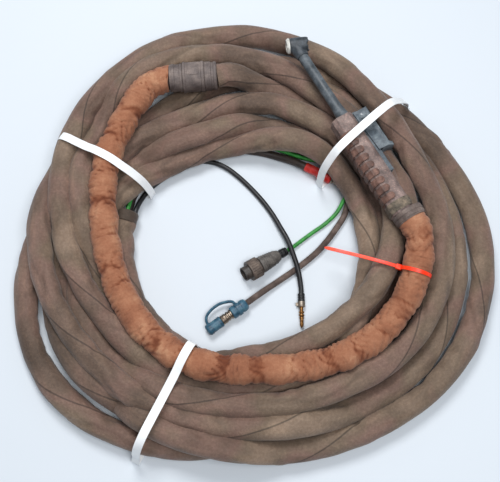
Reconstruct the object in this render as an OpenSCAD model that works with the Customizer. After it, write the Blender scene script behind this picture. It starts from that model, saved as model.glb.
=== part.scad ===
// Water-cooled TIG welding torch with its coiled hose package, lying on a bench.
// +Z is up, z = 0 is the bench, and the origin is the middle of the coil on the bench.
// The torch lies on the coil with its switch side turned outwards.

/* [Torch] */
// Length of the handle, from the leather to the neck
handle_len = 166; // [150:1:180]
// Width of the handle shells, without the switch
handle_w = 30; // [28:1:32]
// Thickness of the handle shells
handle_t = 30; // [30:1:32]
// Distance from the leather to the middle of the head
head_x = 292; // [285:1:300]
// Lean of the head towards the tip, from square to the neck
head_lean = 23; // [10:1:30]
// Outer diameter of the neck sheath
neck_d = 14.4; // [14:0.2:15]
// Outer diameter of the head moulding
head_d = 21.5; // [20:0.5:23]
// Number of ribs on the grip strip
grip_ribs = 9; // [7:1:9]

/* [Trigger] */
// Travel of the trigger lever, in degrees
trigger_travel = 3; // [1:0.5:3]

/* [Hose package] */
// Diameter of the gathered leather cover
leather_d = 36; // [34:1:37]
// Length of the swivel sleeve between the leather and the jacket
sleeve_len = 66; // [60:1:70]
// Largest diameter of that sleeve
sleeve_d = 43; // [40:1:44]
// Height of the coil of jacketed hose
coil_h = 62; // [50:1:62]
// Width of the white cable ties
tie_w = 11; // [8:1:12]

/* [Control plug] */
// Diameter of the knurled coupling ring
ring_d = 28; // [26:1:28]
// Outer diameter of the plug's barrel
barrel_d = 20; // [18:0.5:20]

/* [Hidden] */
$fn = 64;

// Where the torch lies: the middle of the collar's rear face, and the direction of its head
torch_at = [209, 14, 79];
torch_turn = 120;

// ---------------------------------------------------------------- helpers

module on_torch() { translate(torch_at) rotate([0, 0, torch_turn]) children(); }

// Turns a shape made along +Z so that it runs along +X
module along_x(x = 0, y = 0, z = 0) { translate([x, y, z]) rotate([0, 90, 0]) children(); }

// A round bar along +X, or a tube when bore is set
module bar_x(x0, x1, d, bore = 0, y = 0, z = 0) {
    along_x(x0, y, z) difference() {
        cylinder(h = x1 - x0, d = d);
        if (bore > 0) translate([0, 0, -1]) cylinder(h = x1 - x0 + 2, d = bore);
    }
}

// A round rod from one point to another
module rod(a, b, d) {
    v = b - a;
    flat = norm([v.x, v.y]);
    translate(a) rotate([0, atan2(flat, v.z), atan2(v.y, v.x)]) cylinder(h = norm(v), d = d);
}

// Smooth closed outline through radii given every 30 degrees from +X
function clock_r(r, a) =
    let (n = len(r), s = a / 360 * n, i = floor(s), f = s - i, w = (1 - cos(180 * f)) / 2)
    r[i % n] * (1 - w) + r[(i + 1) % n] * w;
outline_steps = 72;
function ring_pts(r, inset) = [
    for (k = [0:outline_steps - 1])
        let (a = 360 * k / outline_steps, q = clock_r(r, a) - inset) [q * cos(a), q * sin(a)]
];

// Tube swept along a route: one ring of points at each route point
function unit(v) = v / norm(v);
function heading(p, i) = unit(p[min(i + 1, len(p) - 1)] - p[max(i - 1, 0)]);
function ring_at(p, i, r, sides) =
    let (t = heading(p, i), s = unit(cross(t, [0, 0, 1])), u = cross(s, t))
    [for (k = [0:sides - 1]) p[i] + r * (cos(360 * k / sides) * s + sin(360 * k / sides) * u)];
module swept(p, d, sides = 10) {
    n = len(p);
    pts = [for (i = [0:n - 1]) each ring_at(p, i, d / 2, sides)];
    walls = [
        for (i = [0:n - 2], k = [0:sides - 1]) let (j = (k + 1) % sides)
            [i * sides + k, i * sides + j, (i + 1) * sides + j, (i + 1) * sides + k]
    ];
    caps = [[for (k = [sides - 1:-1:0]) k], [for (k = [0:sides - 1]) (n - 1) * sides + k]];
    polyhedron(points = pts, faces = concat(walls, caps));
}

// ---------------------------------------------------------------- head and neck

head_half = 14;         // half length of the head
core_d = 15;            // metal core of the head
thread_front_d = 9.5;   // collet body thread
thread_front_len = 10;
thread_rear_d = 10.5;   // back cap thread
thread_rear_len = 9;
passage_d = 6.5;        // gas passage between the two threads
neck_bore = 10.4;
neck_x0 = handle_len - 14;
neck_x1 = head_x - 12;
stub_x0 = neck_x1 - 10;

module on_head() {
    on_torch() translate([head_x, -3, 0]) rotate([0, 0, -head_lean]) rotate([-90, 0, 0]) children();
}

module head_body() {
    color("#b08d57") difference() {
        union() {
            on_head() translate([0, 0, -head_half]) cylinder(h = 2 * head_half, d = core_d);
            on_torch() bar_x(stub_x0, head_x - 4, neck_bore);
        }
        on_head() {
            translate([0, 0, head_half - thread_front_len])
                cylinder(h = thread_front_len + 1, d = thread_front_d);
            translate([0, 0, -head_half - 1]) cylinder(h = thread_rear_len + 1, d = thread_rear_d);
            translate([0, 0, -head_half + 1]) cylinder(h = 2 * head_half - 2, d = passage_d);
        }
    }
}

module head_moulding() {
    color("#39434d") difference() {
        union() {
            on_head() {
                translate([0, 0, 2 - head_half]) cylinder(h = 2 * head_half - 5, d = head_d);
                translate([0, 0, -head_half]) cylinder(h = 2, d1 = head_d - 2, d2 = head_d);
            }
            on_torch() bar_x(neck_x1 - 6, head_x - 3, neck_d + 3.2);
        }
        on_head() translate([0, 0, -head_half - 1]) cylinder(h = 2 * head_half + 2, d = core_d);
        on_torch() {
            bar_x(neck_x1 - 7, head_x - 4, neck_bore);
            bar_x(neck_x1 - 7, neck_x1, neck_d);
        }
    }
}

module front_insulator() {
    color("#e9e9e4") on_head() difference() {
        translate([0, 0, head_half - 3]) cylinder(h = 4, d = 19);
        translate([0, 0, head_half - 4]) cylinder(h = 6, d = core_d);
    }
}

// The sheath flares where it enters the handle
flare_d = 20;
flare_len = 22;
module neck_sheath() {
    color("#4a5661") on_torch() along_x() rotate_extrude() polygon([
        [neck_bore / 2, neck_x0], [flare_d / 2 - 1, neck_x0], [flare_d / 2 - 1, handle_len],
        [flare_d / 2, handle_len], [flare_d / 2 - 0.6, handle_len + 3], [neck_d / 2, handle_len + flare_len],
        [neck_d / 2, neck_x1], [neck_bore / 2, neck_x1]
    ]);
}

// ---------------------------------------------------------------- lines inside the handle

// Each line: place at the neck, place where its hose begins, place at the leather, bore size of its hose
gas_line = [[0, 2.6], [140, 4, 7], [0, -5, 5], 6];
water_line = [[2.5, -1.5], [134, 8, -3], [0, 6, 3], 7];
power_line = [[-2.5, -1.5], [116, -1.5, -6], [0, -1, -6], 9];
neck_tube_d = [3, 4, 4];
bend_x = neck_x0 - 2;

module neck_tube(line, d) {
    hose_end = line[1];
    color("#b87333") on_torch()
        swept([
            [stub_x0, line[0].x, line[0].y], [bend_x + 4, line[0].x, line[0].y],
            [bend_x - 2, (3 * line[0].x + hose_end.y) / 4, (3 * line[0].y + hose_end.z) / 4],
            hose_end + 3 * unit(hose_end - line[2]), hose_end
        ], d, 12);
}
module inner_line(line, shade) { color(shade) on_torch() rod(line[1], line[2], line[3]); }

module gas_tube() { neck_tube(gas_line, neck_tube_d[0]); }
module water_tube() { neck_tube(water_line, neck_tube_d[1]); }
module power_tube() { neck_tube(power_line, neck_tube_d[2]); }
module inner_gas_hose() { inner_line(gas_line, "#202022"); }
module inner_water_hose() { inner_line(water_line, "#3b2c26"); }
module inner_power_cable() { inner_line(power_line, "#2c2320"); }

// One crimped ferrule round the end of each hose
ferrule_len = 12;
module crimp_ferrules() {
    color("#b9b4a8") on_torch() for (line = [gas_line, water_line, power_line]) {
        from = line[1] - 2 * unit(line[1] - line[2]);
        to = line[1] - (2 + ferrule_len) * unit(line[1] - line[2]);
        difference() {
            rod(from, to, line[3] + 1.6);
            rod(from + unit(from - to), to + unit(to - from), line[3]);
        }
    }
}

module switch_cable() {
    color("#3f7a3a") on_torch() swept([
        [micro_x[0] + 0.5, lead_y, 0], [switch_x0 + 14, lead_y, 0], [switch_x0 + 10, lead_y + 2, 0],
        [switch_x0 + 3, -5.6, 1.5], [switch_x0 - 2, -4.8, 1.5], [22, -5.6, 0.5],
        [6, -8, -0.6], [0, -8.2, -0.6]
    ], 2.6, 10);
}

// ---------------------------------------------------------------- handle

shell_x0 = 14;
shell_y0 = -10;         // side that carries the switch
shell_wall = 2.6;
bevel = 6;              // flat bevel along the handle's edges
spigot_d = 29;          // rear end of the handle, inside the collar
spigot_bore = 25;

module handle_section(inset) {
    y0 = shell_y0 + inset;
    y1 = shell_y0 + handle_w - inset;
    z1 = handle_t / 2 - inset;
    c = bevel - inset / 2;
    polygon([
        [y0 + c, -z1], [y1 - c, -z1], [y1, -z1 + c], [y1, z1 - c],
        [y1 - c, z1], [y0 + c, z1], [y0, z1 - c], [y0, -z1 + c]
    ]);
}
module handle_solid(x0, x1, inset) {
    translate([x0, 0, 0]) rotate([90, 0, 90]) linear_extrude(x1 - x0) handle_section(inset);
}

rib_pitch = 12.4;
rib_x0 = 34;
rib_len = 9;
rib_h = 2.4;            // how far a rib stands out of the shell
rib_y0 = 5;             // where the ribs end on the upper face of the handle
rib_z0 = -6;            // and on the grip side
spine_gap = 0.02;
spine_half = 5;         // half height of the spine
tape_len = 12;
module spine_seat(gap = 0) {
    translate([rib_x0 - 2 + gap, shell_y0 + handle_w - 1.2 + gap, -spine_half + gap])
        cube([(grip_ribs - 1) * rib_pitch + rib_len + 4 - 2 * gap, 2.4 - gap, 2 * (spine_half - gap)]);
}

module handle_shell(up) {
    color("#7a6c66") on_torch() difference() {
        union() {
            difference() {
                handle_solid(shell_x0, handle_len, 0);
                handle_solid(shell_x0 + 4, handle_len - 5, shell_wall);
            }
            bar_x(shell_x0 - 10, shell_x0 + 1, spigot_d);
            screw_places() intersection() {
                rod([0, 0, -handle_t], [0, 0, handle_t], screw_head_d + 1.2);
                translate([0, -screw_y, 0]) handle_solid(-10, 10, 1);
            }
        }
        bar_x(shell_x0 - 11, shell_x0 + 5, spigot_bore);
        bar_x(neck_x0 - 1, handle_len + 1, flare_d - 2);
        spine_seat();
        translate([switch_x0, shell_y0 - 1, -4]) cube([16, 5, 8]);
        screw_places() rod([0, 0, -handle_t], [0, 0, screw_seat - 1], screw_d);
        screw_places() rod([0, 0, -handle_t], [0, 0, -screw_seat], screw_head_d);
        translate([-50, -100, up ? -200 : 0]) cube([400, 200, 200]);
    }
}
module handle_shell_upper() { handle_shell(true); }
module handle_shell_lower() { handle_shell(false); }

// Three screws from below, each in a post beside the grip side
screw_y = 15.4;
screw_d = 2.9;
screw_head_d = 5.6;
screw_seat = 9;
screw_x = [24, 96, 148];
module screw_places() { for (x = screw_x) translate([x, screw_y, 0]) children(); }
module handle_screws() {
    color("#8f9296") on_torch() screw_places() {
        rod([0, 0, -screw_seat - 1.6], [0, 0, -screw_seat], screw_head_d);
        rod([0, 0, -screw_seat], [0, 0, screw_seat - 1], screw_d);
    }
}

// Soft grip: a spine let into the shells, with ribs that wrap the grip side of the handle
module grip_strip() {
    color("#6b5b55") on_torch() {
        spine_seat(spine_gap);
        for (i = [0:grip_ribs - 1]) grip_rib(rib_x0 + i * rib_pitch);
    }
}
module grip_rib(x) {
    difference() {
        handle_solid(x, x + rib_len, -rib_h);
        handle_solid(x - 1, x + rib_len + 1, 0);
        translate([x - 1, -50, -50]) cube([rib_len + 2, 50 + rib_y0, 100]);
        translate([x - 1, -50, -50]) cube([rib_len + 2, 100, 50 + rib_z0]);
    }
}

module tape_wrap() {
    color("#6a6258") on_torch() translate([shell_x0 + 3, 0, 0]) difference() {
        handle_solid(0, tape_len, -0.9);
        handle_solid(-1, tape_len + 1, 0);
    }
}

// ---------------------------------------------------------------- switch

switch_x0 = 70;
base_y = shell_y0 - 0.05;
base_t = 6;
base_half = 7;
pin_x = 156;
pin_y = -20;
pin_d = 3;
ear_top = 2;            // the ear stops here and leaves room for the spring
lever_x0 = 102;
lever_y0 = -31;
lever_half = 10;
lever_wall = 2.2;
lever_end = handle_len - 3;
// gap between the lever's free end and the handle, closed by the travel
lever_gap = 0.8 + (pin_x - lever_x0) * tan(trigger_travel);
base_room = -19.4;      // the lever is open below this, so that it clears the base
micro_x = [110, 132];
micro_top = -22.5;
plunger_x = 122;
plunger_d = 2.4;
plunger_top = -25.8;
lead_y = -13.5;         // channel for the switch cable in the base

module switch_base() {
    color("#66727b") on_torch() difference() {
        union() {
            translate([switch_x0, base_y - base_t, -base_half])
                cube([handle_len - 1 - switch_x0, base_t, 2 * base_half]);
            translate([pin_x - 5, pin_y - 4, -base_half]) cube([9, base_y - pin_y + 2, base_half + ear_top]);
        }
        translate([pin_x, pin_y, -base_half - 1]) cylinder(h = 2 * base_half + 2, d = pin_d);
        translate([micro_x[0], base_y - base_t - 1, -3.2]) cube([micro_x[1] - micro_x[0], 5, 6.4]);
        translate([switch_x0 + 2, base_y - base_t + 1.5, -3]) cube([13, base_t, 6]);
        rod([switch_x0 + 12, lead_y, 0], [micro_x[0] + 1, lead_y, 0], 3);
    }
}

// A channel-shaped lever over the base, with a lip for the finger at its free end
module trigger() {
    color("#66727b") on_torch() difference() {
        union() {
            difference() {
                translate([0, 0, -lever_half]) linear_extrude(2 * lever_half) polygon([
                    [lever_x0 - 4, lever_y0 - 3], [lever_x0 + 1, lever_y0 - 3.5], [lever_x0 + 4, lever_y0],
                    [lever_end, lever_y0], [lever_end, shell_y0 - 1], [lever_x0, shell_y0 - lever_gap],
                    [lever_x0 - 1, lever_y0 + 3]
                ]);
                translate([lever_x0 + 3, lever_y0 + lever_wall, lever_wall - lever_half])
                    cube([lever_end - lever_wall - lever_x0 - 3, 40, 2 * (lever_half - lever_wall)]);
                translate([lever_x0 - 10, base_room, lever_wall - lever_half])
                    cube([100, 40, 2 * (lever_half - lever_wall)]);
            }
            translate([plunger_x - 3, lever_y0 + lever_wall - 0.5, -3])
                cube([6, plunger_top - lever_y0 - lever_wall + 0.35, 6]);
        }
        translate([pin_x, pin_y, -lever_half - 1]) cylinder(h = 2 * lever_half + 2, d = pin_d + 0.1);
    }
}

module trigger_pin() {
    color("#9a9da0") on_torch() translate([pin_x, pin_y, -lever_half - 0.5])
        cylinder(h = 2 * lever_half + 1, d = pin_d);
}

// Return spring: a wire coil round the pin, with one leg along the lever and one over the base
spring_d = 5.2;
spring_wire = 0.8;
spring_turns = 3.5;
spring_leg = 14;
module trigger_spring() {
    z0 = ear_top + 0.7;
    pitch = 1.15;
    coil = [for (a = [0:30:360 * spring_turns])
        [pin_x + spring_d / 2 * cos(a + 270), pin_y + spring_d / 2 * sin(a + 270), z0 + pitch * a / 360]];
    lever_leg = [pin_x - spring_leg, lever_y0 + lever_wall + 0.9, z0];
    base_leg = [pin_x - spring_leg, base_y - base_t - 1.3, z0 + pitch * spring_turns];
    color("#c8cacc") on_torch() swept(concat([lever_leg], coil, [base_leg]), spring_wire, 6);
}

module microswitch() {
    color("#23262a") on_torch() difference() {
        translate([micro_x[0] + 0.5, micro_top, -3]) cube([micro_x[1] - micro_x[0] - 1, 10.4, 6]);
        translate([plunger_x, micro_top - 1, 0]) rotate([-90, 0, 0]) cylinder(h = 7, d = plunger_d + 0.1);
    }
}

module switch_plunger() {
    color("#b5402f") on_torch() translate([plunger_x, plunger_top, 0]) rotate([-90, 0, 0])
        cylinder(h = 6.5, d = plunger_d);
}

// ---------------------------------------------------------------- collar, leather and sleeve

module rear_collar() {
    color("#77706b") on_torch() difference() {
        union() {
            bar_x(0, 2, 40);
            bar_x(2, shell_x0 - 0.05, 42);
        }
        bar_x(-1, 5, spigot_bore - 0.6);
        bar_x(4, shell_x0 + 1, spigot_d);
    }
}

// Route of the leather cover, from the collar round the coil to the sleeve
leather_route = [
    [209, 14, 79], [214, 5.3, 79], [218, -9, 76], [216, -40, 69], [205, -75, 63], [187, -104, 57],
    [160, -132, 54], [128, -153, 53], [92, -166, 53], [54, -173, 53], [14, -175, 53], [-26, -174, 53],
    [-64, -168, 53], [-100, -152, 53], [-132, -126, 53], [-157, -93, 53], [-176, -54, 53],
    [-188, -12, 53], [-195, 33, 53], [-197, 78, 53], [-190, 122, 54], [-174, 162, 55],
    [-158, 193, 56], [-145, 212, 57], [-131, 223, 57], [-117, 228.6, 57], [-112.2, 229, 57]
];
module leather_hose() { color("#b26b4a") swept(leather_route, leather_d, 12); }

// Plastic swivel sleeve: a front ring, a fat middle and a rear ring
sleeve_at = [-112, 229, 57];
sleeve_turn = 4;
module on_sleeve() { translate(sleeve_at) rotate([0, 0, sleeve_turn]) children(); }
module sleeve_ring(x0, x1, d) { color("#6f6360") on_sleeve() bar_x(x0, x1, d, 30); }
module sleeve_front() { sleeve_ring(0, 0.28 * sleeve_len, sleeve_d - 4); }
module sleeve_body() { sleeve_ring(0.28 * sleeve_len, 0.74 * sleeve_len, sleeve_d); }
module sleeve_rear() { sleeve_ring(0.74 * sleeve_len, sleeve_len, sleeve_d - 3); }

// ---------------------------------------------------------------- coil of jacketed hose

// Radii of the coil every 30 degrees, from +X towards +Y
coil_out = [325, 304, 296, 325, 322, 298, 303, 328, 310, 292, 300, 322];
coil_in = [146, 146, 130, 134, 145, 165, 157, 162, 162, 152, 142, 144];
// Inner edge of its foot, where the loose leads run beneath it
foot_in = [150, 178, 176, 176, 182, 214, 158, 164, 164, 154, 144, 146];
// Inner edge of its upper layer, outside the leather
upper_in = [242, 156, 140, 262, 284, 248, 216, 206, 202, 198, 214, 234];
foot_h = 19;
shelf_h = 34;           // height of the lower layer, which carries the leather
sole = 6;               // how far the foot and the top edge draw in

cuff_at = [-172, 31];
cuff_turn = 77;
cuff_len = 16;
cuff_d = 33;

module coil_slab(z0, z1, inner, edge) {
    translate([0, 0, z0]) linear_extrude(z1 - z0) difference() {
        polygon(ring_pts(coil_out, edge));
        polygon(ring_pts(inner, 0));
    }
}
module hose_coil() {
    color("#6d5f59") difference() {
        union() {
            coil_slab(0, foot_h, foot_in, sole);
            coil_slab(foot_h, shelf_h, coil_in, 0);
            coil_slab(shelf_h, coil_h, upper_in, sole);
        }
        // room for the jacket's end and the leads that leave it
        translate([cuff_at.x, cuff_at.y, -1]) rotate([0, 0, cuff_turn])
            translate([0, -19, 0]) cube([44, 38, 60]);
        for (t = ties) rotate([0, 0, t[0]])
            translate([100, -tie_w / 2 - 0.3, -1]) cube([300, tie_w + 0.6, 2.8]);
    }
}

module on_cuff() { translate([cuff_at.x, cuff_at.y, cuff_d / 2 + 0.1]) rotate([0, 0, cuff_turn]) children(); }
module jacket_cuff() { color("#4a403b") on_cuff() bar_x(0, cuff_len, cuff_d); }

// ---------------------------------------------------------------- gas lead

gas_d = 7;
gas_at = [69, -66, 5];
gas_route = [
    [-158.5, 44.5, 13], [-157, 51, 13], [-152, 66, 8], [-140, 84, 6], [-120, 101, 6], [-97, 115, 5],
    [-74, 126, 4], [-53, 125, 4], [-34, 117, 4], [-16, 103, 4], [2, 85, 4], [18, 66, 5], [31, 47, 6],
    [42, 26, 10], [52, 6, 13], [60, -17, 13], [65, -35, 12.5], [68, -51, 7], [69, -60, 5], gas_at
];
gas_turn = -90;
gas_tip_d = 5;
gas_tip_x = 43;
module gas_hose() { color("#1f1f21") swept(gas_route, gas_d, 8); }
module on_gas() { translate(gas_at) rotate([0, 0, gas_turn]) children(); }
module gas_ferrule() { color("#26262a") on_gas() bar_x(0, 11, 9.6, 7.2); }
module gas_ear_clamp() {
    color("#a8a39a") on_gas() {
        bar_x(11, 18, 10, 5);
        translate([12.5, -7.6, -2]) cube([4, 3.4, 4]);
    }
}
// Stem, two barbs, a bulb and the tip that a push-in coupling takes
module gas_nipple() {
    color("#a9773f") on_gas() along_x() rotate_extrude() polygon([
        [0, 18], [2.4, 18], [2.4, 24], [3.7, 24], [3.7, 26.5], [2.2, 27], [2.2, 28], [3.7, 28], [3.7, 30.5],
        [2.2, 31], [3.2, 32.5], [3.2, 34], [gas_tip_d / 2, gas_tip_x - 8], [gas_tip_d / 2, gas_tip_x],
        [1, gas_tip_x + 3], [0, gas_tip_x + 3]
    ]);
}

// ---------------------------------------------------------------- water leads

water_d = 8.4;
water_at = [-5, -80, 9.2];
water_route = [
    [-178.5, 49, 14], [-177, 55.5, 14], [-173, 73, 10], [-163, 96, 7], [-138, 117, 6.5],
    [-111, 133, 6], [-84, 146, 5], [-41, 155, 5], [0, 154, 5], [38, 146, 5], [75, 132, 6], [105, 125, 6.5],
    [124, 112, 6.5], [136, 98, 6], [139, 80, 5], [136, 62, 5], [130, 44, 5], [120, 28, 5], [107, 10, 5],
    [90, -9, 4.5], [66, -29, 4.5], [42, -46, 4.5], [22, -60, 6.5], [10, -69, 9], [1, -75.6, 9.2],
    water_at
];
module water_hose() { color("#3c2e28") swept(water_route, water_d, 8); }

blue_turn = 216.3;
module on_blue() { translate(water_at) rotate([0, 0, blue_turn]) children(); }
module blue_sleeve() { color("#38506b") on_blue() bar_x(0, 24, 17, 8); }
module blue_nipple() {
    color("#9d9a94") on_blue() {
        bar_x(8, 50, 7.6);
        for (x = [24.05, 30, 36]) bar_x(x, x + 3.6, 13);
    }
}
module blue_cap() {
    color("#38506b") on_blue() {
        difference() {
            bar_x(41, 64, 15.5);
            bar_x(40, 53, 7.7);
        }
        bar_x(11, 15, 18.4, 17.3);
        swept([[58, -6, 0], [57, -12, 0], [52, -17.5, 0], [42, -20.5, 0], [30, -20.5, 0], [20, -17, 0],
            [14, -13, 0], [13, -8.9, 0]], 3, 10);
    }
}

power_d = 11;
power_at = [78, 116, 10.4];
power_turn = -27;
power_route = [
    [-168, 47, 8.8], [-166.5, 53.5, 8.8], [-163, 71, 8], [-152, 90, 7.5], [-129, 108, 7.5], [-104, 123, 7],
    [-80, 135, 6], [-38, 144, 6], [0, 142, 6], [36, 134, 6], [58, 126, 8.5], [72, 119, 10.4], power_at
];
module power_hose() { color("#2f2622") swept(power_route, power_d, 10); }
module on_red() { translate(power_at) rotate([0, 0, power_turn]) children(); }
module red_sleeve() {
    color("#c8302a") on_red() difference() {
        union() {
            bar_x(20, 40, 17);
            bar_x(0, 20, 13);
        }
        bar_x(8, 41, 8);
    }
}
module red_nipple() {
    color("#9d9a94") on_red() {
        bar_x(10, 58, 7.6);
        for (x = [40.05, 46]) bar_x(x, x + 3.6, 12);
    }
}

// ---------------------------------------------------------------- control lead and plug

control_d = 5.5;
plug_at = [50, -6, 6.6];
plug_turn = 212;
plug_tilt = 9.5;        // the plug lies on its ring and on its rear clamp
control_route = [
    [-168, 47, 19.7], [-166.5, 53.5, 19.7], [-163, 71, 16], [-157, 93, 15], [-133, 113, 15], [-107, 129, 14],
    [-82, 142, 13], [-41, 149, 13], [0, 149, 13], [38, 141, 13], [75, 128, 13.5], [104, 120, 14.5],
    [122, 109, 14.5], [133, 96, 14], [136, 80, 13], [129, 64, 8], [119, 48, 4], [103, 33, 3], [85, 20, 3],
    [68, 7, 3.5], [60, 0.5, 4.8], [55, -2.9, 5.6], plug_at
];
module control_cable() { color("#3f8a4a") swept(control_route, control_d, 8); }
module on_plug() { translate(plug_at) rotate([0, -plug_tilt, plug_turn]) children(); }

clamp_len = 13;
backshell_end = 44;
barrel_end = 70;
socket_x = 52;
socket_d = 16;
ring_x = [46, 61];
module plug_clamp() { color("#6c6a68") on_plug() bar_x(0, clamp_len, 12.6, 5); }
module plug_backshell() {
    color("#5d5c5c") on_plug() along_x() rotate_extrude() polygon([
        [3, clamp_len], [7.5, clamp_len], [9, clamp_len + 5],
        [11.6, backshell_end - 4], [11.6, backshell_end], [8, backshell_end],
        [8, backshell_end - 8], [3, clamp_len + 8]
    ]);
}
module plug_barrel() {
    color("#48484a") on_plug() difference() {
        union() {
            bar_x(backshell_end, ring_x[1] + 0.3, barrel_d);
            bar_x(backshell_end, barrel_end, barrel_d - 0.8);
        }
        bar_x(socket_x, barrel_end + 1, socket_d);
    }
}
module plug_pins() {
    color("#c9b27a") on_plug() for (k = [0:5])
        rotate([60 * k, 0, 0]) bar_x(socket_x, socket_x + 11, 1.8, y = 4.8);
}
knurls = 24;
module plug_ring() {
    color("#55524f") on_plug() difference() {
        bar_x(ring_x[0], ring_x[1], ring_d);
        bar_x(ring_x[0] - 1, ring_x[1] + 1, barrel_d + 0.1);
        for (k = [0:knurls - 1]) rotate([360 * k / knurls, 0, 0])
            bar_x(ring_x[0] + 2, ring_x[1] - 2, 1.8, y = ring_d / 2 + 0.3);
    }
}

// ---------------------------------------------------------------- ties

tie_t = 1.4;
// Each tie: its clock angle, then the inside of its loop as radius and height
ties = [
    [151, [[148, 1.6], [160, 36], [196, 66], [208, 74], [238, 74], [258, 65], [304, 64], [304, 1.6]]],
    [243, [[157, 1.6], [157, 64], [164, 73], [190, 73], [206, 65], [316, 64], [316, 1.6]]],
    [43, [[133, 1.6], [133, 62], [160, 97], [236, 97], [256, 90], [303, 64], [303, 1.6]]]
];
module tie(t) {
    color("#f2f3f2") rotate([90, 0, t[0]]) translate([0, 0, -tie_w / 2]) linear_extrude(tie_w) difference() {
        offset(delta = tie_t) polygon(t[1]);
        polygon(t[1]);
    }
}
module tie_left() { tie(ties[0]); }
module tie_bottom() { tie(ties[1]); }
module tie_handle() { tie(ties[2]); }

// Narrow tie round the leather, its tail left long
orange_at = [212.2, -52.2, 66.9];
orange_from = [192.7, -46.1, 68];
orange_tip = [98, -14, 50];
module tie_orange() {
    color("#f2582a") {
        aim = unit([205, -75, 63] - [216, -40, 69]);
        difference() {
            rod(orange_at - 2.3 * aim, orange_at + 2.3 * aim, leather_d + 4);
            rod(orange_at - 4 * aim, orange_at + 4 * aim, leather_d + 1.2);
        }
        translate(orange_from) rotate([0, 0, -18]) translate([-6, -3.2, -2.5]) cube([8, 6.4, 5]);
        rod(orange_from, orange_tip, 2.4);
    }
}

head_body();
head_moulding();
front_insulator();
neck_sheath();
gas_tube();
water_tube();
power_tube();
crimp_ferrules();
inner_gas_hose();
inner_water_hose();
inner_power_cable();
switch_cable();
handle_shell_upper();
handle_shell_lower();
handle_screws();
grip_strip();
tape_wrap();
switch_base();
trigger();
trigger_pin();
trigger_spring();
microswitch();
switch_plunger();
rear_collar();
leather_hose();
sleeve_front();
sleeve_body();
sleeve_rear();
hose_coil();
jacket_cuff();
gas_hose();
gas_ferrule();
gas_ear_clamp();
gas_nipple();
water_hose();
blue_sleeve();
blue_nipple();
blue_cap();
power_hose();
red_sleeve();
red_nipple();
control_cable();
plug_clamp();
plug_backshell();
plug_barrel();
plug_pins();
plug_ring();
tie_left();
tie_bottom();
tie_handle();
tie_orange();
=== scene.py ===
from math import atan2, cos, pi, radians, sin

import bmesh
import bpy
import numpy as np
from mathutils import Matrix, Vector


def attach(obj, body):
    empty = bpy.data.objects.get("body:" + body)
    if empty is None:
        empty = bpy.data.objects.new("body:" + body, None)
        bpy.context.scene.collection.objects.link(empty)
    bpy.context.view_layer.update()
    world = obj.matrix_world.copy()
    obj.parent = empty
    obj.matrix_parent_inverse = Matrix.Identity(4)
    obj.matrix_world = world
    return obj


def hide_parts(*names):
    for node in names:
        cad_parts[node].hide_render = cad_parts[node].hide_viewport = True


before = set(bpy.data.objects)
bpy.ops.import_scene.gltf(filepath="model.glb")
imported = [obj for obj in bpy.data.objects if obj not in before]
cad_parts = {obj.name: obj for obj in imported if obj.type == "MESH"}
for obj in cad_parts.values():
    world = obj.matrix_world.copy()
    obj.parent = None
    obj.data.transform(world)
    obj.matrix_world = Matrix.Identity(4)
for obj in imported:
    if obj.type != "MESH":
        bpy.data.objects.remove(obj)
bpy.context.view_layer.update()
SCENE = bpy.context.scene
SCENE.view_settings.view_transform = "Standard"
MM = 0.001

# ------------------------------------------------------------------ camera
# A hand-held camera looks down on the bench from its near side, a little over a metre away.
CAMERA_DISTANCE = 1150 * MM
CAMERA_ELEVATION = radians(73)
CAMERA_TARGET = Vector((0, 10, 0)) * MM
back = Vector((0, -cos(CAMERA_ELEVATION), sin(CAMERA_ELEVATION)))
lens = bpy.data.cameras.new("camera")
lens.lens, lens.sensor_width = 60, 36
lens.clip_start, lens.clip_end = 0.05, 20
camera = bpy.data.objects.new("camera", lens)
camera.location = CAMERA_TARGET + CAMERA_DISTANCE * back
camera.rotation_mode = "QUATERNION"
camera.rotation_quaternion = (-back).to_track_quat("-Z", "Y")
SCENE.collection.objects.link(camera)
SCENE.camera = camera

# ------------------------------------------------------------------ jacketed hose in its coil
# Three hoses and a switch cable run in a jacket of coated woven cloth, closed along a seam that
# twists slowly round it. It is soft and half empty, so it dents, and long folds run along it.
# It leaves the sleeve behind the leather and makes eight turns before it ends in a hem.
JACKET_END = (-172, 31, 16.6)
SLEEVE_END = (-46, 233.6, 57)
# Its turns start at twelve o'clock and run clockwise. For each: the distance from the middle at
# 12, 1, 2 ... 11 o'clock, and the height there, in millimetres.
TURNS = [
    [(235, 222, 205, 190, 170, 157, 160, 185, 200, 216, 258, 290),
     (50, 36, 32, 32, 30, 25, 22, 17, 17, 38, 46, 46)],
    [(266, 228, 220, 213, 206, 197, 197, 204, 215, 245, 284, 308),
     (44, 44, 24, 17, 17, 30, 46, 46, 46, 46, 46, 40)],
    [(319, 278, 252, 257, 249, 226, 220, 229, 242, 225, 180, 153),
     (26, 44, 44, 44, 45, 46, 46, 46, 44, 20, 34, 36)],
    [(148, 160, 161, 162, 170, 200, 252, 298, 318, 291, 236, 234),
     (37, 37, 34, 28, 20, 17, 17, 17, 17, 17, 19, 18)],
    [(252, 252, 264, 277, 277, 256, 245, 250, 262, 280, 288, 303),
     (17, 17, 17, 17, 17, 25, 32, 38, 46, 46, 27, 17)],
    [(272, 278, 292, 314, 311, 286, 274, 269, 264, 237, 206, 173),
     (17, 17, 17, 17, 17, 17, 17, 17, 17, 18, 34, 40)],
    [(174, 174, 200, 236, 234, 228, 226, 264, 275, 262, 228, 201),
     (42, 34, 18, 17, 17, 17, 17, 17, 17, 17, 34, 45)],
    [(203, 197, 190, 188, 182, 172, 172, 174, 173, 173),
     (46, 42, 34, 17, 16.6, 16.6, 16.6, 16.6, 16.6, 16.6)],
]
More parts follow.
